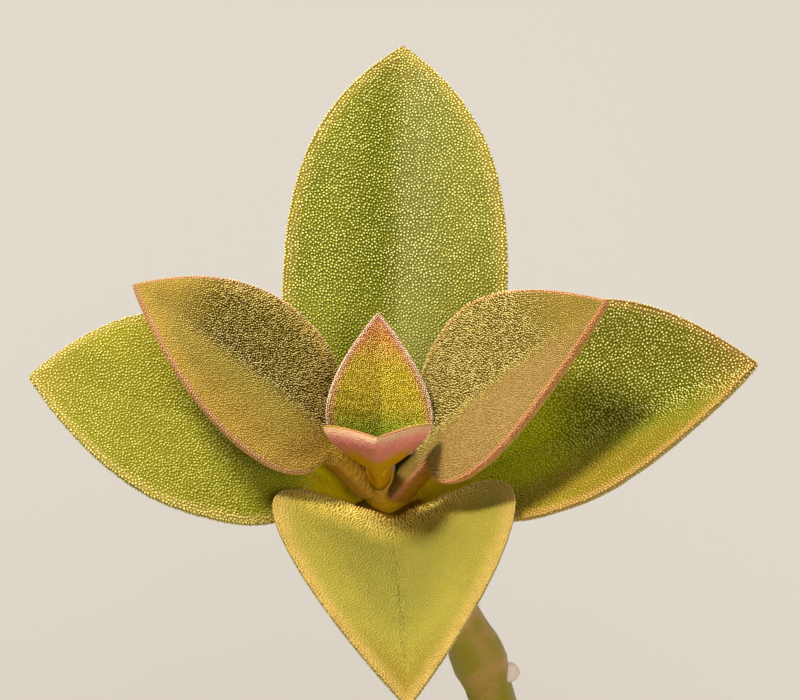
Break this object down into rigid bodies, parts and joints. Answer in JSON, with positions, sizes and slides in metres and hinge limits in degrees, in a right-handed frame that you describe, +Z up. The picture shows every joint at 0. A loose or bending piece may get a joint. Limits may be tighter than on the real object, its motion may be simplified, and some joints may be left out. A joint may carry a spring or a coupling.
{
  "type": "potted heartleaf ice plant",
  "caption": "Small potted succulent with an open shoot of broad fleshy leaves on an upright stem, and low leafy stems leaning over the rim of a clay pot.",
  "frame": {"origin": "centre of the pot's underside, on the surface that it stands on", "axes": "+Z up; the open shoot faces -Y and up; +X to the right as seen from there"},
  "size_m": [0.1169, 0.0938, 0.1783],
  "materials": {
    "clay": "unglazed fired clay",
    "soil": "matt, crumbly potting soil",
    "stem": "satin, fleshy, with fine glassy cells",
    "leaf": "satin, fleshy, covered in fine glassy cells",
    "young_leaf": "satin, fleshy, covered in fine glassy cells",
    "bronzed_leaf": "satin, fleshy, covered in fine glassy cells"
  },
  "bodies": {
    "root": {"upright_stem": "stem", "leaf_1_back": "young_leaf", "leaf_1_front": "young_leaf", "leaf_2_left": "bronzed_leaf", "leaf_2_right": "bronzed_leaf", "leaf_3_back": "leaf", "leaf_3_front": "leaf", "leaf_4_left": "leaf", "leaf_4_right": "leaf", "leaf_5_left": "leaf", "leaf_5_right": "leaf", "leaf_6_back": "leaf", "leaf_6_front": "leaf", "side_shoot_left": "leaf", "side_shoot_right": "leaf", "leafy_stem_1": "leaf", "leafy_stem_2": "leaf", "leafy_stem_3": "leaf", "leafy_stem_4": "leaf", "leafy_stem_5": "leaf", "leafy_stem_6": "leaf", "leafy_stem_7": "leaf", "soil": "soil", "pot": "clay"}
  },
  "joints": []
}
